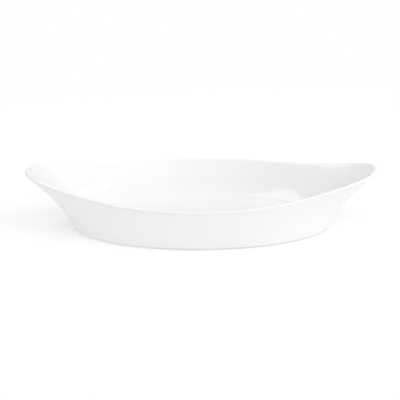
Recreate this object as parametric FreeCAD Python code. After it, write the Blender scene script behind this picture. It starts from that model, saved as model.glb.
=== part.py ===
"""Oval eared gratin dish: one piece of white porcelain under a glassy glaze, standing on a bare foot ring.

Millimetres, +Z up, +X along the dish from ear to ear. The origin is the middle of the foot, on the table.
The porcelain and the two coats of glaze fired onto it are separate solids that meet face to face.
"""

import FreeCAD
import Part

import math
import os
from collections import namedtuple

Vector = FreeCAD.Vector
UP = Vector(0, 0, 1)

# Overall sizes, over the glaze
LENGTH = 262.0  # from ear tip to ear tip
WIDTH = 150.0  # across the lips, at the middle of the long sides
SIDE_HEIGHT = 33.0  # crest of the lip at the middle of a long side
EAR_HEIGHT = 45.0  # crest of the lip at the tip of an ear

# Outline of the lip's centre line, seen from above: rounded side, straight flank, rounded ear tip
SIDE_CORNER = 35.0  # from the middle of a side to where its tangent meets the flank's line
EAR_TIP_RADIUS = 30.0
SWEEP_POWER = 3.1  # how late, on the way to the tip, the lip sweeps up into the ear

# Foot: the oval where the lines of the outer wall meet the table, and the ring under it
FOOT_LENGTH = 189.0
FOOT_WIDTH = 120.0
FOOT_CORNER_RADIUS = 3.0  # outer edge of the ring
FOOT_FLAT = 3.0  # width of the flat that the dish stands on
RECESS_DEPTH = 2.2  # of the glazed underside above the table
RECESS_EDGE_RADIUS = 0.8  # inner edge of the ring

# Walls, over the glaze on both faces
WALL_THICKNESS = 4.6  # low down
LIP_THICKNESS = 3.4  # at the lip, whose edge is a half round
FLOOR_THICKNESS = 5.0
FLOOR_FILLET = 18.0  # where the inside wall turns into the floor
FILLET_SHARE = 0.75  # the most that the fillet takes of the height inside a low wall

# Lean of the wall, in degrees from the straight line between foot and lip
SIDE_STEEPER = 4.0  # how much steeper the bottom stands, at the middle of a side
SIDE_FLATTER = 3.0  # how much flatter the top lies
EAR_STEEPER = 12.0
EAR_FLATTER = 8.0
STEEP_SHARE = 0.54  # how much of the wall the lean of the bottom is felt over
FLAT_SHARE = 0.29  # how much of the wall the lean of the top is felt over

# Glaze
GLAZE = 0.3  # thickness of the coat
GLAZE_LINE = 1.2  # height above the table where the outer coat ends and the foot is bare

# Stations round a quarter of the dish, and steps along each stretch of a section
SIDE_STEPS = 6
FLANK_STEPS = 4
TIP_STEPS = 6
ROUND_STEPS = 4
WALL_STEPS = 6
LIP_STEPS = 8
SETTLE_ROUNDS = 30  # rounds in which a point's place on the foot's oval settles
ON_LINE = 0.001  # what still counts as lying on a line

Station = namedtuple("Station", "lip lip_out foot foot_out lean flare")
Spot = namedtuple("Spot", "point out face lean thickness")


def mix(start, end, share):
    return start + (end - start) * share


def arc(centre, first, second, angle, steps):
    """Points on the arc from centre + first towards centre + second, both ends included."""
    turns = [angle * i / steps for i in range(steps + 1)]
    return [centre + first * math.cos(turn) + second * math.sin(turn) for turn in turns]


def quarter_outline():
    """(point, outward direction) along the lip's centre line, from the middle of a side to an ear tip."""
    side_y = (WIDTH - LIP_THICKNESS) / 2
    tip_x = (LENGTH - LIP_THICKNESS) / 2 - EAR_TIP_RADIUS
    reach = math.hypot(tip_x - SIDE_CORNER, side_y)
    flank = math.atan2(side_y, tip_x - SIDE_CORNER) - math.asin(EAR_TIP_RADIUS / reach)
    side_radius = SIDE_CORNER / math.tan(flank / 2)

    def on_arc(centre, radius, turn):
        out = Vector(math.sin(turn), math.cos(turn), 0)
        return centre + out * radius, out

    side_centre = Vector(0, side_y - side_radius, 0)
    tip_centre = Vector(tip_x, 0, 0)
    side = [on_arc(side_centre, side_radius, flank * i / SIDE_STEPS) for i in range(SIDE_STEPS + 1)]
    tip_turns = [mix(flank, math.pi / 2, i / TIP_STEPS) for i in range(TIP_STEPS + 1)]
    tip = [on_arc(tip_centre, EAR_TIP_RADIUS, turn) for turn in tip_turns]
    flank_start, flank_out = side[-1]
    flank_end, _ = tip[0]
    flank_points = [mix(flank_start, flank_end, i / FLANK_STEPS) for i in range(1, FLANK_STEPS)]
    return side + [(point, flank_out) for point in flank_points] + tip


def full_outline():
    """The quarter mirrored twice, once round the dish, with no point taken twice."""

    def mirrored(pairs, along, across):
        flipped = [[Vector(v.x * along, v.y * across, 0) for v in pair] for pair in pairs]
        return flipped[-2::-1] if along * across < 0 else flipped[1:]

    quarter = quarter_outline()
    half = quarter + mirrored(quarter, 1, -1)
    return half + mirrored(quarter, -1, -1) + mirrored(quarter, -1, 1)[:-1]


def foot_turn(point):
    """The turn round the foot's oval at which a wall square to the oval runs up to the point."""
    half_length = FOOT_LENGTH / 2
    half_width = FOOT_WIDTH / 2
    stretch = half_length**2 - half_width**2
    turn = 0.0
    for _ in range(SETTLE_ROUNDS):
        turn = math.atan2(half_width * point.y + stretch * math.sin(turn), half_length * point.x)
    return turn


def station(point, out):
    """Where the wall's section stands at one point of the lip, and how it leans there."""
    sweep = (abs(point.x) * 2 / (LENGTH - LIP_THICKNESS)) ** SWEEP_POWER
    lip = point + UP * (mix(SIDE_HEIGHT, EAR_HEIGHT, sweep) - LIP_THICKNESS / 2)
    turn = foot_turn(point)
    foot = Vector(FOOT_LENGTH / 2 * math.cos(turn), FOOT_WIDTH / 2 * math.sin(turn), 0)
    foot_out = Vector(math.cos(turn) / FOOT_LENGTH, math.sin(turn) / FOOT_WIDTH, 0).normalize()
    lip_edge = point + out * (LIP_THICKNESS / 2)
    slope = math.atan2((lip_edge - foot).dot(foot_out), lip.z)
    lean = slope - math.radians(mix(SIDE_STEEPER, EAR_STEEPER, sweep))
    flare = slope + math.radians(mix(SIDE_FLATTER, EAR_FLATTER, sweep))
    return Station(lip, out, foot, foot_out, lean, flare)


def up_along(out, lean):
    """Up along a wall that leans outwards by an angle from upright."""
    return out * math.sin(lean) + UP * math.cos(lean)


def square_to(out, lean):
    """Away from the bowl, square to such a wall."""
    return out * math.cos(lean) - UP * math.sin(lean)


def corner_centre(at):
    """Centre of the foot's rounded outer edge, right above the outer edge of the flat."""
    depth = (FOOT_CORNER_RADIUS + GLAZE) / math.cos(at.lean)
    run = FOOT_CORNER_RADIUS * math.tan(at.lean) - depth
    return at.foot + at.foot_out * run + UP * FOOT_CORNER_RADIUS


def wall_curve(at):
    """The outer wall over the glaze, as a function from a share of its way up to the spot there."""
    bottom = corner_centre(at) + square_to(at.foot_out, at.lean) * (FOOT_CORNER_RADIUS + GLAZE)
    top = at.lip + square_to(at.lip_out, at.flare) * (LIP_THICKNESS / 2)
    slant = (top - bottom).Length
    steep_pull = bottom + up_along(at.foot_out, at.lean) * (slant * STEEP_SHARE)
    flat_pull = top - up_along(at.lip_out, at.flare) * (slant * FLAT_SHARE)

    def spot(share):
        rest = 1 - share
        pulled = steep_pull * (3 * rest * rest * share) + flat_pull * (3 * rest * share * share)
        point = bottom * rest**3 + pulled + top * share**3
        low_rise = (steep_pull - bottom) * (rest * rest) + (flat_pull - steep_pull) * (2 * rest * share)
        rise = low_rise + (top - flat_pull) * (share * share)
        out = mix(at.foot_out, at.lip_out, share).normalize()
        lean = math.atan2(rise.dot(out), rise.z)
        eased = share * share * (3 - 2 * share)
        return Spot(point, out, square_to(out, lean), lean, mix(WALL_THICKNESS, LIP_THICKNESS, eased))

    return spot


def inner_face(spot):
    return spot.point - spot.face * spot.thickness


def fillet_top(curve, floor, radius):
    """How far up the wall its inner face meets the fillet of the floor."""
    low = 0.0
    high = 1.0
    for _ in range(SETTLE_ROUNDS):
        share = (low + high) / 2
        spot = curve(share)
        if inner_face(spot).z < floor + radius * (1 - math.sin(spot.lean)):
            low = share
        else:
            high = share
    return share


def wall_section(at, inset):
    """From the edge of the flat floor over the lip down to the foot's flat, in stretches that meet.

    inset is how far the section lies under the glazed surface.
    """
    curve = wall_curve(at)
    floor = RECESS_DEPTH + FLOOR_THICKNESS
    hollow = min(FLOOR_FILLET, (at.lip.z - floor) * FILLET_SHARE)
    start = fillet_top(curve, floor, hollow)
    meeting = curve(start)
    hollow_centre = inner_face(meeting) - meeting.face * hollow
    hollow_radius = hollow + inset
    fillet = arc(hollow_centre, UP * -hollow_radius, meeting.out * hollow_radius,
                 math.pi / 2 - meeting.lean, ROUND_STEPS)

    inner_spots = [curve(mix(start, 1, i / WALL_STEPS)) for i in range(WALL_STEPS + 1)]
    inner_wall = [inner_face(spot) + spot.face * inset for spot in inner_spots]
    outer_spots = [curve(1 - i / WALL_STEPS) for i in range(WALL_STEPS + 1)]
    outer_wall = [spot.point - spot.face * inset for spot in outer_spots]

    lip_radius = LIP_THICKNESS / 2 - inset
    lip = arc(at.lip, square_to(at.lip_out, at.flare) * -lip_radius,
              up_along(at.lip_out, at.flare) * lip_radius, math.pi, LIP_STEPS)

    corner_radius = FOOT_CORNER_RADIUS + GLAZE - inset
    corner = arc(corner_centre(at), square_to(at.foot_out, at.lean) * corner_radius,
                 up_along(at.foot_out, at.lean) * -corner_radius, math.pi / 2 - at.lean, ROUND_STEPS)
    return [fillet, inner_wall, lip, outer_wall, corner]


def recess_section(at, inset):
    """From the foot's flat up the inside of the ring to the flat underside, in stretches that meet."""
    flat_edge = corner_centre(at) - at.foot_out * FOOT_FLAT
    flat_edge.z = 0
    cover = GLAZE - inset
    edge_centre = flat_edge + UP * RECESS_EDGE_RADIUS
    edge_radius = RECESS_EDGE_RADIUS + cover
    edge = arc(edge_centre, UP * -edge_radius, at.foot_out * -edge_radius, math.pi / 2, ROUND_STEPS)

    bare_fillet = RECESS_DEPTH + GLAZE - RECESS_EDGE_RADIUS
    fillet_centre = edge_centre - at.foot_out * (RECESS_EDGE_RADIUS + bare_fillet)
    fillet_radius = bare_fillet - cover
    fillet = arc(fillet_centre, at.foot_out * fillet_radius, UP * fillet_radius, math.pi / 2, ROUND_STEPS)
    return [edge, fillet]


def ring(points, knots):
    """A smooth closed wire through one point of every station."""
    curve = Part.BSplineCurve()
    curve.interpolate(Points=list(points), Parameters=knots, PeriodicFlag=True)
    return Part.Wire(curve.toShape())


def stretch_rings(sections, knots):
    """For every stretch of the sections, its rings round the dish."""
    return [[ring(points, knots) for points in zip(*stretch)] for stretch in zip(*sections)]


def sewn(faces):
    shell = Part.Shell(Part.Compound(faces).Faces)
    shell.sewShape()
    return shell


def skin(rings_by_stretch, closed_ring):
    """An open skin through the rings, with a flat face over one of them."""
    faces = [face for rings in rings_by_stretch for face in Part.makeLoft(rings).Faces]
    return sewn(faces + [Part.Face(closed_ring)])


def band(outer, inner):
    """The flat face between two level rings, one inside the other."""
    return Part.makeFace([outer, inner], "Part::FaceMakerBullseye")


def above(height, open_skin):
    """The part of a skin above a height, and the edge that it ends in there."""
    margin = WALL_THICKNESS
    size = Vector(LENGTH + margin, WIDTH + margin, height + margin)
    below = Part.makeBox(*size, Vector(-size.x / 2, -size.y / 2, -margin))
    kept = open_skin.cut(below)
    hem = [edge for edge in kept.Edges if edge.BoundBox.ZMax < height + ON_LINE]
    return kept, Part.Wire(Part.sortEdges(hem)[0])


def coat(height, glazed, porcelain):
    """The glaze between two skins, down to a height above the table."""
    glazed_kept, glazed_hem = above(height, glazed)
    porcelain_kept, porcelain_hem = above(height, porcelain)
    return Part.Solid(sewn([glazed_kept, porcelain_kept, band(glazed_hem, porcelain_hem)]))


def main():
    outline = full_outline()
    stations = [station(point, out) for point, out in outline]
    knots = [0.0]
    for (point, _), (following, _) in zip(outline, outline[1:] + outline[:1]):
        knots.append(knots[-1] + (following - point).Length)

    def wall_and_recess(inset):
        wall = stretch_rings([wall_section(at, inset) for at in stations], knots)
        recess = stretch_rings([recess_section(at, inset) for at in stations], knots)
        stand = band(wall[-1][-1], recess[0][0])
        return skin(wall, wall[0][0]), skin(recess, recess[-1][-1]), stand

    porcelain_wall, porcelain_recess, stand = wall_and_recess(GLAZE)
    glazed_wall, glazed_recess, _ = wall_and_recess(0)
    pieces = {
        "porcelain_body": Part.Solid(sewn([porcelain_wall, porcelain_recess, stand])),
        "glaze_coat": coat(GLAZE_LINE, glazed_wall, porcelain_wall),
        "underside_glaze": coat(RECESS_EDGE_RADIUS, glazed_recess, porcelain_recess),
    }
    os.makedirs("parts", exist_ok=True)
    for name, piece in pieces.items():
        piece.exportStep(f"parts/{name}.step")


main()
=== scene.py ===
"""Oval eared gratin dish of white glazed porcelain, standing alone on a white studio table.

The dish is shaped in millimetres, and each mesh is scaled to metres when it is done. The studio is in metres.
+X runs along the dish from ear to ear, +Z is up, and the origin is the middle of the foot, on the table.
"""

import math
from collections import namedtuple

import bmesh
import bpy
from mathutils import Matrix, Quaternion, Vector, noise


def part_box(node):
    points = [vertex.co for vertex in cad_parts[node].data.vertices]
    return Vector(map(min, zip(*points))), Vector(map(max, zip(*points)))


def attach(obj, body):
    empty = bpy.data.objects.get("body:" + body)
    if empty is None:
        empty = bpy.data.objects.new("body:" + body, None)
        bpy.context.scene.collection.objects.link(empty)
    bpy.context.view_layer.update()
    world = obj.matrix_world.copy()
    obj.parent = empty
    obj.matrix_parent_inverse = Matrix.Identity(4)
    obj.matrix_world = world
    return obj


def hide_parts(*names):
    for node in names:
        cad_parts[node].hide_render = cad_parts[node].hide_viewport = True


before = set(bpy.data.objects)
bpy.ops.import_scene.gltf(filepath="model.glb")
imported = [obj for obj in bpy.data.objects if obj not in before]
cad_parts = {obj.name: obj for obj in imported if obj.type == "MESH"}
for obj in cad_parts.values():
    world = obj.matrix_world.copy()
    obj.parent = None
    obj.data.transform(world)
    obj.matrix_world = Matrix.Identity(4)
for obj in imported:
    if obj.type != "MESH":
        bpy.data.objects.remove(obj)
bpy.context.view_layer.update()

MM = 0.001
UP = Vector((0, 0, 1))

# Overall sizes over the glaze, as packed
low, high = (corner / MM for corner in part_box("glaze_coat"))
LENGTH = high.x - low.x  # from ear tip to ear tip
WIDTH = high.y - low.y  # across the lips, at the middle of the long sides
EAR_HEIGHT = high.z  # crest of the lip at the tip of an ear
SIDE_HEIGHT = 33.0  # crest of the lip at the middle of a long side

# Outline of the lip's centre line, seen from above
SIDE_CORNER = 35.0  # from the middle of a side to where its tangent meets the flank's line
EAR_TIP_RADIUS = 30.0
SWEEP_POWER = 3.1  # how late, on the way to the tip, the lip sweeps up into the ear

# Foot
FOOT_LENGTH = 189.0
FOOT_WIDTH = 120.0
FOOT_CORNER_RADIUS = 3.0
FOOT_FLAT = 3.0  # width of the ground flat that the dish stands on
RECESS_DEPTH = 2.2
RECESS_EDGE_RADIUS = 0.8

# Walls, over the glaze on both faces
WALL_THICKNESS = 4.6  # low down
LIP_THICKNESS = 3.4  # at the lip, whose edge is a half round
FLOOR_THICKNESS = 5.0
FLOOR_FILLET = 18.0
FILLET_SHARE = 0.75  # the most that the fillet takes of the height inside a low wall

# Lean of the wall, in degrees from the straight line between foot and lip
SIDE_STEEPER = 4.0
SIDE_FLATTER = 3.0
EAR_STEEPER = 12.0
EAR_FLATTER = 8.0
STEEP_SHARE = 0.54  # of the wall's slant: how far its foot end pulls it upright
FLAT_SHARE = 0.29  # and how far its lip end draws it out flat

# Glaze
GLAZE = 0.3
GLAZE_LINE = 1.2  # height above the table where the outer coat ends and the foot is bare

# Stations round a quarter of the dish and steps along its section, which the subdivision then rounds
SIDE_STEPS = 7
FLANK_STEPS = 4
TIP_STEPS = 7
ROUND_STEPS = 4  # in each fillet and rounded edge
WALL_STEPS = 6
LIP_STEPS = 8
BOWL_SHARES = (0.0, 0.35, 0.65, 0.85)  # of the way from the middle of the floor to its fillet
UNDERSIDE_SHARES = (0.0, 0.3, 0.6, 0.8, 0.93)  # the same under the dish
SMOOTHING = 2  # levels of subdivision
MERGED_WITHIN = 0.001  # points this near to each other are one
SHORTEST_EDGE = 0.0001
SEARCH_ROUNDS = 30  # in which a foot's turn or a height on the wall is closed in on

# How the clay settled in the kiln: the real dish is never quite true
SETTLING = 0.15  # the most that a point moves along an axis
SETTLING_SPREAD = 70.0  # from one swell to the next
RIPPLE = 0.008  # of the glaze, which ran while it was molten
RIPPLE_SPREAD = 16.0
STANDING = 8.0  # height over which the settling grows, from none at the foot that was ground flat
SETTLING_SEED = 7  # so that it settles the same way each time

# How deep the glaze lies, from 0 where it ran thin to 1 where it pooled. At 0, round the outer edge of the
# lip, the thin glaze's tone is darkened further as painted shade
THIN_AND_SHADED = 0.0
EVEN = 0.5
POOLED = 1.0
# Painted shade: these lip steps get the darker thin-glaze tone, which also stands for the shade line under
# the lip
THIN_SHADED_STEPS = 2  # of the lip's steps, the last ones before the outer wall

Station = namedtuple("Station", "lip lip_out foot foot_out lean flare")
Spot = namedtuple("Spot", "point out face lean thickness")


def mix(start, end, share):
    return start + (end - start) * share


def arc(centre, first, second, angle, steps):
    """Points on the arc from centre + first towards centre + second, both ends included."""
    turns = [angle * i / steps for i in range(steps + 1)]
    return [centre + first * math.cos(turn) + second * math.sin(turn) for turn in turns]


def quarter_outline():
    """(point, outward direction) along the lip's centre line, from the middle of a side to an ear tip."""
    side_y = (WIDTH - LIP_THICKNESS) / 2
    tip_x = (LENGTH - LIP_THICKNESS) / 2 - EAR_TIP_RADIUS
    reach = math.hypot(tip_x - SIDE_CORNER, side_y)
    flank = math.atan2(side_y, tip_x - SIDE_CORNER) - math.asin(EAR_TIP_RADIUS / reach)
    side_radius = SIDE_CORNER / math.tan(flank / 2)

    def on_arc(centre, radius, turn):
        out = Vector((math.sin(turn), math.cos(turn), 0))
        return centre + out * radius, out

    side_centre = Vector((0, side_y - side_radius, 0))
    tip_centre = Vector((tip_x, 0, 0))
    side = [on_arc(side_centre, side_radius, flank * i / SIDE_STEPS) for i in range(SIDE_STEPS + 1)]
    tip_turns = [mix(flank, math.pi / 2, i / TIP_STEPS) for i in range(TIP_STEPS + 1)]
    tip = [on_arc(tip_centre, EAR_TIP_RADIUS, turn) for turn in tip_turns]
    flank_start, flank_out = side[-1]
    flank_end, _ = tip[0]
    flank_points = [mix(flank_start, flank_end, i / FLANK_STEPS) for i in range(1, FLANK_STEPS)]
    return side + [(point, flank_out) for point in flank_points] + tip


def foot_turn(point):
    """The turn round the foot's oval at which a wall square to the oval runs up to the point."""
    half_length = FOOT_LENGTH / 2
    half_width = FOOT_WIDTH / 2
    stretch = half_length**2 - half_width**2
    turn = 0.0
    for _ in range(SEARCH_ROUNDS):
        turn = math.atan2(half_width * point.y + stretch * math.sin(turn), half_length * point.x)
    return turn


def ear_sweep(x):
    """How much of an ear there is at a distance along the dish: 0 at the middle, 1 at the tip."""
    return (abs(x) * 2 / (LENGTH - LIP_THICKNESS)) ** SWEEP_POWER


def crest_height(x):
    return mix(SIDE_HEIGHT, EAR_HEIGHT, ear_sweep(x))


def station(point, out):
    """Where the wall's section stands at one point of the lip, and how it leans there."""
    sweep = ear_sweep(point.x)
    lip = point + UP * (crest_height(point.x) - LIP_THICKNESS / 2)
    turn = foot_turn(point)
    foot = Vector((FOOT_LENGTH / 2 * math.cos(turn), FOOT_WIDTH / 2 * math.sin(turn), 0))
    foot_out = Vector((math.cos(turn) / FOOT_LENGTH, math.sin(turn) / FOOT_WIDTH, 0)).normalized()
    lip_edge = point + out * (LIP_THICKNESS / 2)
    slope = math.atan2((lip_edge - foot).dot(foot_out), lip.z)
    lean = slope - math.radians(mix(SIDE_STEEPER, EAR_STEEPER, sweep))
    flare = slope + math.radians(mix(SIDE_FLATTER, EAR_FLATTER, sweep))
    return Station(lip, out, foot, foot_out, lean, flare)


def up_along(out, lean):
    """Up along a wall that leans outwards by an angle from upright."""
    return out * math.sin(lean) + UP * math.cos(lean)


def square_to(out, lean):
    """Away from the bowl, square to such a wall."""
    return out * math.cos(lean) - UP * math.sin(lean)


def corner_centre(at):
    """Centre of the foot's rounded outer edge, right above the outer edge of the flat."""
    depth = (FOOT_CORNER_RADIUS + GLAZE) / math.cos(at.lean)
    run = FOOT_CORNER_RADIUS * math.tan(at.lean) - depth
    return at.foot + at.foot_out * run + UP * FOOT_CORNER_RADIUS


def wall_curve(at):
    """The outer wall over the glaze: a function that gives a spot on it, from 0, low down, to 1, at the lip.

    It is one smooth cubic curve, pulled up steeply at its lower end and drawn out flatter at the lip.
    """
    bottom = corner_centre(at) + square_to(at.foot_out, at.lean) * (FOOT_CORNER_RADIUS + GLAZE)
    top = at.lip + square_to(at.lip_out, at.flare) * (LIP_THICKNESS / 2)
    slant = (top - bottom).length
    steep_pull = bottom + up_along(at.foot_out, at.lean) * (slant * STEEP_SHARE)
    flat_pull = top - up_along(at.lip_out, at.flare) * (slant * FLAT_SHARE)

    def spot(share):
        rest = 1 - share
        pulled = steep_pull * (3 * rest * rest * share) + flat_pull * (3 * rest * share * share)
        point = bottom * rest**3 + pulled + top * share**3
        low_rise = (steep_pull - bottom) * (rest * rest) + (flat_pull - steep_pull) * (2 * rest * share)
        rise = low_rise + (top - flat_pull) * (share * share)
        out = mix(at.foot_out, at.lip_out, share).normalized()
        lean = math.atan2(rise.dot(out), rise.z)
        eased = share * share * (3 - 2 * share)
        return Spot(point, out, square_to(out, lean), lean, mix(WALL_THICKNESS, LIP_THICKNESS, eased))

    return spot


def inner_face(spot):
    """The point straight through the wall from a spot on its outer face."""
    return spot.point - spot.face * spot.thickness


def fillet_top(curve, floor, radius):
    """How far up the wall its inner face meets the fillet of the floor."""
    below = 0.0
    above = 1.0
    for _ in range(SEARCH_ROUNDS):
        share = (below + above) / 2
        spot = curve(share)
        if inner_face(spot).z < floor + radius * (1 - math.sin(spot.lean)):
            below = share
        else:
            above = share
    return share


def spokes(edge, shares):
    """From the middle of the dish out to the edge of a flat, without the edge itself."""
    return [Vector((edge.x * share, edge.y * share, edge.z)) for share in shares]


def bowl_and_wall(at, inset, bottom):
    """From the middle of the floor over the lip down the outer wall to the height of its bottom end."""
    curve = wall_curve(at)
    floor = RECESS_DEPTH + FLOOR_THICKNESS
    hollow = min(FLOOR_FILLET, (at.lip.z - floor) * FILLET_SHARE)
    start = fillet_top(curve, floor, hollow)
    meeting = curve(start)
    hollow_centre = inner_face(meeting) - meeting.face * hollow
    hollow_radius = hollow + inset
    fillet = arc(hollow_centre, UP * -hollow_radius, meeting.out * hollow_radius,
                 math.pi / 2 - meeting.lean, ROUND_STEPS)

    inner_spots = [curve(mix(start, 1, i / WALL_STEPS)) for i in range(WALL_STEPS + 1)]
    inner_wall = [inner_face(spot) + spot.face * inset for spot in inner_spots]
    outer_spots = [curve(1 - i / WALL_STEPS) for i in range(WALL_STEPS + 1)]
    outer_wall = [spot.point - spot.face * inset for spot in outer_spots]

    lip_radius = LIP_THICKNESS / 2 - inset
    lip = arc(at.lip, square_to(at.lip_out, at.flare) * -lip_radius,
              up_along(at.lip_out, at.flare) * lip_radius, math.pi, LIP_STEPS)

    corner_radius = FOOT_CORNER_RADIUS + GLAZE - inset
    sink = min((FOOT_CORNER_RADIUS - bottom) / corner_radius, 1)
    corner = arc(corner_centre(at), square_to(at.foot_out, at.lean) * corner_radius,
                 up_along(at.foot_out, at.lean) * -corner_radius, math.asin(sink) - at.lean, ROUND_STEPS)
    bowl = spokes(fillet[0], BOWL_SHARES) + fillet[:-1] + inner_wall[:-1]
    return bowl + lip[:-1] + outer_wall[:-1] + corner


def recess(at, inset):
    """The ring's rounded inner edge, and from its top the fillet and the flat underside to the middle."""
    flat_edge = corner_centre(at) - at.foot_out * FOOT_FLAT
    flat_edge.z = 0
    cover = GLAZE - inset
    edge_centre = flat_edge + UP * RECESS_EDGE_RADIUS
    edge_radius = RECESS_EDGE_RADIUS + cover
    edge = arc(edge_centre, UP * -edge_radius, at.foot_out * -edge_radius, math.pi / 2, ROUND_STEPS)

    bare_fillet = RECESS_DEPTH + GLAZE - RECESS_EDGE_RADIUS
    fillet_centre = edge_centre - at.foot_out * (RECESS_EDGE_RADIUS + bare_fillet)
    fillet_radius = bare_fillet - cover
    fillet = arc(fillet_centre, at.foot_out * fillet_radius, UP * fillet_radius, math.pi / 2, ROUND_STEPS)
    return edge, fillet + spokes(fillet[-1], UNDERSIDE_SHARES)[::-1]


def body_section(at):
    """The bare porcelain, under all of the glaze."""
    edge, underside = recess(at, GLAZE)
    return bowl_and_wall(at, GLAZE, 0) + edge[:-1] + underside


def coat_section(at):
    """The glaze over floor, lip and wall: its shiny face to the glaze line, and back along the porcelain."""
    shiny = bowl_and_wall(at, 0, GLAZE_LINE)
    fused = bowl_and_wall(at, GLAZE, GLAZE_LINE)
    return shiny + fused[::-1]


def underside_section(at):
    """The glaze inside the foot ring: its shiny face, and back along the porcelain."""
    _, shiny = recess(at, 0)
    _, fused = recess(at, GLAZE)
    return shiny[::-1] + fused


def settled(point):
    """A point of the true shape, moved as the clay settled.

    One field moves all three pieces, so that they stay fused to each other.
    """
    slow = noise.noise_vector(point / SETTLING_SPREAD) * SETTLING
    quick = noise.noise_vector(point / RIPPLE_SPREAD) * RIPPLE
    return point + (slow + quick) * min(point.z / STANDING, 1)


def glaze_depth_and_lip_shade(step):
    """How deep the glaze lies at a step down its coat's section, counted from the middle of the floor. The
    thin steps round the lip's outer edge also carry a painted shade line.

    It pools in the fillet inside the foot ring too. The bare porcelain carries the same values unread.
    """
    fillet_end = len(BOWL_SHARES) + ROUND_STEPS
    lip_end = fillet_end + WALL_STEPS + LIP_STEPS
    if step <= fillet_end:
        return POOLED
    # Painted shade: marking these lip steps thin also lays the shade line under the lip
    if lip_end - THIN_SHADED_STEPS <= step < lip_end:
        return THIN_AND_SHADED
    return EVEN


def pressed(name, section):
    """A closed skin through the section at every station of a quarter of the dish, mirrored all round."""
    rows = [section(station(point, out)) for point, out in quarter_outline()]
    last_row = len(rows) - 1
    last_step = len(rows[0]) - 1
    mesh = bmesh.new()
    depth = mesh.verts.layers.float.new("glaze_depth_and_lip_shade")

    # The flat grid runs from -1 to 1 both ways, so a corner's own place says which row and step it stands for
    bmesh.ops.create_grid(mesh, x_segments=last_row, y_segments=last_step, size=1)
    for vert in mesh.verts:
        round_dish = round((vert.co.x + 1) / 2 * last_row)
        down_section = round((vert.co.y + 1) / 2 * last_step)
        vert.co = rows[round_dish][down_section]
        vert[depth] = glaze_depth_and_lip_shade(down_section)

    for axis in "XY":
        quarters = mesh.verts[:] + mesh.edges[:] + mesh.faces[:]
        bmesh.ops.mirror(mesh, geom=quarters, axis=axis, merge_dist=MERGED_WITHIN)
    bmesh.ops.remove_doubles(mesh, verts=mesh.verts, dist=MERGED_WITHIN)
    bmesh.ops.dissolve_degenerate(mesh, dist=SHORTEST_EDGE, edges=mesh.edges)
    bmesh.ops.recalc_face_normals(mesh, faces=mesh.faces)
    for vert in mesh.verts:
        vert.co = settled(vert.co) * MM
    for face in mesh.faces:
        face.smooth = True

    data = bpy.data.meshes.new(name)
    mesh.to_mesh(data)
    mesh.free()
    piece = bpy.data.objects.new(name, data)
    bpy.context.collection.objects.link(piece)
    rounding = piece.modifiers.new("rounding", "SUBSURF")
    rounding.levels = SMOOTHING
    rounding.render_levels = SMOOTHING
    return piece


# ---- Materials

# Glaze: its tones, its roughness and how far light bends in it
GLAZE_WHITE = "#f7f7f7"
GLAZE_CLOUD = "#f6f6f5"
# Thin glaze is warmer, and this tone is darkened further to paint the shade line under the lip
GLAZE_THIN_WITH_PAINTED_SHADE = "#f0efeb"  # round the outer edge of the lip
GLAZE_POOLED = "#f6f7f6"  # in the fillet and on the floor
GLAZE_SMOOTHEST = 0.012
GLAZE_DULLEST = 0.03
GLAZE_IOR = 1.52

# Bare porcelain
BARE_WHITE = "#ebe9e3"
BARE_CLOUD = "#e3e0d9"
RUB_GREY = "#cac8c4"
BARE_SMOOTHEST = 0.5
BARE_DULLEST = 0.72
BARE_IOR = 1.5

# Patterns, in millimetres from one spot of the real pattern to the next, and how deep the fine ones are
GLAZE_CLOUDS = 48.0
GLAZE_FLOW = 26.0  # stretches where the glaze set more or less glossy
ORANGE_PEEL = 3.5
ORANGE_PEEL_DEPTH = 0.003
ORANGE_PEEL_STRENGTH = 0.5  # the share of its depth that shows
BARE_CLOUDS = 9.0
GRIT = 0.5  # the real grit is about 0.05 mm, too fine to show, so it is drawn ten times as coarse
GRIT_DEPTH = 0.03
GRIT_STRENGTH = 0.7
RUBS = 1.1  # the real ones are hairlines, drawn this coarse to show
RUB_STRETCH = 0.6  # they run along the dish, the way it slides on and off a shelf

# A noise keeps near its middle: nearly all of it lies between these values
NOISE_LOW = 0.3
NOISE_HIGH = 0.7
RUBBED_LOW = -0.9  # the rubs show only at the noise's peaks, and faintly
RUBBED_HIGH = 0.4

# Sockets of a Mix node that blends two colours, by number because its sockets for numbers have the same names
SHARE = 0
FIRST = 6
SECOND = 7
BLENDED = 2


def colour(hex_code):
    """An sRGB hex value as the linear colour that the shaders take, by the formula of the sRGB standard."""
    parts = [int(hex_code[i : i + 2], 16) / 255 for i in (1, 3, 5)]
    return [p / 12.92 if p <= 0.04045 else ((p + 0.055) / 1.055) ** 2.4 for p in parts] + [1]


def add(tree, kind, inputs=None, **settings):
    """Adds a node. Inputs go by name or number: an output of another node is linked, anything else is set."""
    node = tree.nodes.new("ShaderNode" + kind)
    for key, value in settings.items():
        setattr(node, key, value)
    for key, given in (inputs or {}).items():
        if isinstance(given, bpy.types.NodeSocket):
            tree.links.new(given, node.inputs[key])
        else:
            node.inputs[key].default_value = given
    return node


def material(name):
    """A new material and its empty tree of nodes."""
    made = bpy.data.materials.new(name)
    made.use_nodes = True
    tree = made.node_tree
    tree.nodes.clear()
    return made, tree


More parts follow.
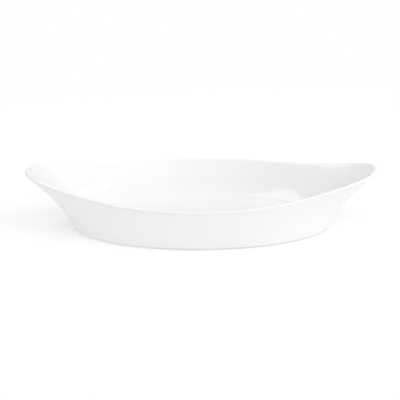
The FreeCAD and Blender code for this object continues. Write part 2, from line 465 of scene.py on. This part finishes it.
def white_glaze():
    """Transparent feldspathic glaze on white porcelain, fired glossy: clean cool white under a glassy shine.

    The glaze ran a little before it set. It pools in the floor's fillet, where it looks a touch cooler and
    deeper, and thins over the lip to the warmer body, whose tone round the lip's outer edge is darkened
    further as a painted shade line. A faint orange peel softens what its skin mirrors.
    """
    made, tree = material("glossy_white_feldspathic_glaze")
    where = add(tree, "TexCoord").outputs["Object"]

    # White with faint clouds
    clouds = add(tree, "TexNoise", {"Vector": where, "Scale": 1 / (GLAZE_CLOUDS * MM), "Detail": 2})
    cloudy = add(tree, "MapRange", {"Value": clouds.outputs["Fac"],
                                    "From Min": NOISE_LOW, "From Max": NOISE_HIGH})
    even = add(tree, "Mix", {SHARE: cloudy.outputs["Result"],
                             FIRST: colour(GLAZE_WHITE), SECOND: colour(GLAZE_CLOUD)}, data_type="RGBA")

    # Thin round the edge of the lip, darkened there as painted shade, and pooled in the fillet and on the
    # floor
    depth = add(tree, "Attribute", attribute_name="glaze_depth_and_lip_shade").outputs["Fac"]
    lip_cover_and_shade = add(tree, "MapRange", {"Value": depth, "From Min": THIN_AND_SHADED, "From Max": EVEN})
    # Painted shade: the darker thin-glaze tone round the lip's outer edge
    lip_thin_and_shaded = add(tree, "Mix", {SHARE: lip_cover_and_shade.outputs["Result"],
                                 FIRST: colour(GLAZE_THIN_WITH_PAINTED_SHADE), SECOND: even.outputs[BLENDED]}, data_type="RGBA")
    pooled = add(tree, "MapRange", {"Value": depth, "From Min": EVEN, "From Max": POOLED})
    tone = add(tree, "Mix", {SHARE: pooled.outputs["Result"], FIRST: lip_thin_and_shaded.outputs[BLENDED],
                             SECOND: colour(GLAZE_POOLED)}, data_type="RGBA")

    # Its skin: glossier and duller stretches, and the orange peel
    flow = add(tree, "TexNoise", {"Vector": where, "Scale": 1 / (GLAZE_FLOW * MM), "Detail": 3})
    skin = add(tree, "MapRange", {"Value": flow.outputs["Fac"], "From Min": NOISE_LOW, "From Max": NOISE_HIGH,
                                  "To Min": GLAZE_SMOOTHEST, "To Max": GLAZE_DULLEST})
    peel = add(tree, "TexNoise", {"Vector": where, "Scale": 1 / (ORANGE_PEEL * MM), "Detail": 1})
    dimples = add(tree, "Bump", {"Height": peel.outputs["Fac"], "Strength": ORANGE_PEEL_STRENGTH,
                                 "Distance": ORANGE_PEEL_DEPTH * MM})

    shader = add(tree, "BsdfPrincipled", {"Base Color": tone.outputs[BLENDED],
                                          "Roughness": skin.outputs["Result"],
                                          "Normal": dimples.outputs["Normal"], "IOR": GLAZE_IOR})
    add(tree, "OutputMaterial", {"Surface": shader.outputs["BSDF"]})
    return made


def bare_porcelain():
    """Vitrified porcelain without glaze, ground flat at the foot ring: matt, warm off-white and gritty.

    Stacking and sliding on shelves has left faint grey rubs on the flat.
    """
    made, tree = material("ground_bare_porcelain")
    where = add(tree, "TexCoord").outputs["Object"]

    # Off-white with faint clouds
    clouds = add(tree, "TexNoise", {"Vector": where, "Scale": 1 / (BARE_CLOUDS * MM), "Detail": 3})
    cloudy = add(tree, "MapRange", {"Value": clouds.outputs["Fac"],
                                    "From Min": NOISE_LOW, "From Max": NOISE_HIGH})
    body = add(tree, "Mix", {SHARE: cloudy.outputs["Result"],
                             FIRST: colour(BARE_WHITE), SECOND: colour(BARE_CLOUD)}, data_type="RGBA")

    # Rubs
    along = add(tree, "Mapping", {"Vector": where, "Scale": (RUB_STRETCH, 1, 1)})
    rubs = add(tree, "TexNoise", {"Vector": along.outputs["Vector"], "Scale": 1 / (RUBS * MM), "Detail": 4})
    rubbed = add(tree, "MapRange", {"Value": rubs.outputs["Fac"],
                                    "From Min": NOISE_LOW, "From Max": NOISE_HIGH,
                                    "To Min": RUBBED_LOW, "To Max": RUBBED_HIGH})
    worn = add(tree, "Mix", {SHARE: rubbed.outputs["Result"],
                             FIRST: body.outputs[BLENDED], SECOND: colour(RUB_GREY)}, data_type="RGBA")

    # Grit
    grit = add(tree, "TexNoise", {"Vector": where, "Scale": 1 / (GRIT * MM), "Detail": 3})
    dull = add(tree, "MapRange", {"Value": grit.outputs["Fac"], "From Min": NOISE_LOW, "From Max": NOISE_HIGH,
                                  "To Min": BARE_SMOOTHEST, "To Max": BARE_DULLEST})
    pits = add(tree, "Bump", {"Height": grit.outputs["Fac"], "Strength": GRIT_STRENGTH,
                              "Distance": GRIT_DEPTH * MM})

    shader = add(tree, "BsdfPrincipled", {"Base Color": worn.outputs[BLENDED],
                                          "Roughness": dull.outputs["Result"],
                                          "Normal": pits.outputs["Normal"], "IOR": BARE_IOR})
    add(tree, "OutputMaterial", {"Surface": shader.outputs["BSDF"]})
    return made


# ---- The three pieces

noise.seed_set(SETTLING_SEED)
glaze = white_glaze()
bare = bare_porcelain()
for name, section, finish, slot, node in (
    ("pressed_porcelain_body", body_section, bare, "bare_porcelain", "porcelain_body"),
    ("glaze_over_bowl_and_wall", coat_section, glaze, "glaze", "glaze_coat"),
    ("glaze_inside_foot_ring", underside_section, glaze, "glaze", "underside_glaze"),
):
    piece = pressed(name, section)
    piece.data.materials.append(finish)
    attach(piece, "root")
    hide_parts(node)

# ---- Studio

PURE_WHITE = "#ffffff"

# The table is translucent and lit from below about as much as from above
TABLE_SIZE = 1.0
TABLE_GLOW = 0.42
TABLE_SHADE = "#c4c4c4"
SHOWN_GLOW = 0.42  # with the shade, an unshadowed table shows as plain white
SHOWN_SHADE = "#d2d2d2"

# How bright the tent is on the sides towards +X, +Y and +Z, and on the three sides across from them
TENT_RIGHT_BACK_TOP = (0.20, 0.0, 0.74)
TENT_LEFT_FRONT_BELOW = (0.0, 0.88, 0.0)

LAMP_AIM = Vector((0, 0, 0.02))
LAMPS = (
    # name; azimuth, elevation and roll in degrees; distance, width and height in metres; watts
    ("strip_softbox_behind_left", 165, 60, -25, 0.946, 0.918, 0.219, 1.05),
    ("low_softbox_right", 0, 15, 0, 1.6, 1.0, 1.0, 4.7),
    ("wide_softbox_right", -15, 47, 0, 1.6, 2.0, 1.2, 3.6),
    ("low_softbox_left", 180, 15, 0, 1.6, 1.0, 1.0, 0.6),
)


def seen_directly(tree):
    """1 for what the camera, a reflection or a transparent piece shows, and 0 where light is gathered."""
    path = add(tree, "LightPath")
    mirrored = add(tree, "Math", {0: path.outputs["Is Camera Ray"], 1: path.outputs["Is Glossy Ray"]},
                   operation="MAXIMUM")
    return add(tree, "Math", {0: mirrored.outputs[0], 1: path.outputs["Is Transmission Ray"]},
               operation="MAXIMUM").outputs[0]


def white_table():
    """Translucent white acrylic: it shows plain white, lights the dish's wall and keeps its soft shadow."""
    mesh = bmesh.new()
    bmesh.ops.create_grid(mesh, x_segments=1, y_segments=1, size=TABLE_SIZE / 2)
    data = bpy.data.meshes.new("white_table")
    mesh.to_mesh(data)
    mesh.free()
    table = bpy.data.objects.new("white_table", data)
    bpy.context.collection.objects.link(table)

    made, tree = material("translucent_white_acrylic")
    layers = []
    for shade, glow in ((TABLE_SHADE, TABLE_GLOW), (SHOWN_SHADE, SHOWN_GLOW)):
        lit = add(tree, "BsdfDiffuse", {"Color": colour(shade)})
        through = add(tree, "Emission", {"Color": colour(PURE_WHITE), "Strength": glow})
        layers.append(add(tree, "AddShader", {0: lit.outputs[0], 1: through.outputs[0]}).outputs[0])
    mixed = add(tree, "MixShader", {0: seen_directly(tree), 1: layers[0], 2: layers[1]})
    add(tree, "OutputMaterial", {"Surface": mixed.outputs[0]})
    data.materials.append(made)


def light_tent():
    """Even white cloth round the table, lit from outside.

    How bright each side is decides how the dish is shaded. The cloth itself shows plain white.
    """
    world = bpy.data.worlds.new("light_tent")
    world.use_nodes = True
    tree = world.node_tree
    tree.nodes.clear()

    # A world's Generated coordinates are a direction, and each side counts by how far that direction faces it
    towards = add(tree, "TexCoord").outputs["Generated"]
    sides = []
    for sign, bright in ((1, TENT_RIGHT_BACK_TOP), (-1, TENT_LEFT_FRONT_BELOW)):
        signed = add(tree, "VectorMath", {0: towards, 1: (sign, sign, sign)}, operation="MULTIPLY")
        facing = add(tree, "VectorMath", {0: signed.outputs[0], 1: (0, 0, 0)}, operation="MAXIMUM")
        lit = add(tree, "VectorMath", {0: facing.outputs[0], 1: bright}, operation="DOT_PRODUCT")
        sides.append(lit.outputs["Value"])
    strength = add(tree, "Math", {0: sides[0], 1: sides[1]}, operation="ADD")
    light = add(tree, "Background", {"Color": colour(PURE_WHITE), "Strength": strength.outputs[0]})
    cloth = add(tree, "Background", {"Color": colour(PURE_WHITE), "Strength": 1})
    mixed = add(tree, "MixShader", {0: seen_directly(tree), 1: light.outputs[0], 2: cloth.outputs[0]})
    add(tree, "OutputWorld", {"Surface": mixed.outputs[0]})
    bpy.context.scene.world = world


def softbox(name, azimuth, elevation, roll, distance, width, height, watts):
    """A lamp behind an even rectangular screen, which faces the dish. An azimuth of 0 is +X, and 90 is +Y."""
    lamp = bpy.data.lights.new(name, "AREA")
    lamp.shape = "RECTANGLE"
    lamp.size = width
    lamp.size_y = height
    lamp.energy = watts
    side = Matrix.Rotation(math.radians(azimuth), 3, "Z") @ Matrix.Rotation(-math.radians(elevation), 3, "Y")
    towards = side @ Vector((1, 0, 0))
    box = bpy.data.objects.new(name, lamp)
    box.location = LAMP_AIM + towards * distance
    rolled = Quaternion((0, 0, 1), math.radians(roll))
    box.rotation_euler = (towards.to_track_quat("Z", "Y") @ rolled).to_euler()
    bpy.context.collection.objects.link(box)


white_table()
light_tent()
for lamp in LAMPS:
    softbox(*lamp)

# ---- Camera

CAMERA_DISTANCE = 1.25
CAMERA_ELEVATION = math.radians(16.26)
CAMERA_TURN = math.radians(1.24)  # round the dish, to the right of its middle
CAMERA_TILT = math.radians(-0.61)  # off level
CAMERA_AIM = Vector((-0.00093, 0, 0.0202))
CAMERA_NEAREST = 0.01  # the nearest that a thing still shows
SENSOR = 36.0  # millimetres across, as the lens's focal length is in millimetres
FOCAL_PIXELS = 1675.0  # that focal length, in pixels of the picture
PICTURE_PIXELS = 400  # across the picture

lens = bpy.data.cameras.new("studio_camera")
lens.sensor_width = SENSOR
lens.lens = FOCAL_PIXELS * SENSOR / PICTURE_PIXELS
lens.clip_start = CAMERA_NEAREST
camera = bpy.data.objects.new("studio_camera", lens)
camera.matrix_world = (
    Matrix.Rotation(CAMERA_TURN, 4, "Z")
    @ Matrix.Translation(CAMERA_AIM)
    @ Matrix.Rotation(math.pi / 2 - CAMERA_ELEVATION, 4, "X")
    @ Matrix.Rotation(CAMERA_TILT, 4, "Z")
    @ Matrix.Translation((0, 0, CAMERA_DISTANCE))
)
bpy.context.collection.objects.link(camera)
bpy.context.scene.camera = camera
bpy.context.scene.view_settings.view_transform = "Standard"
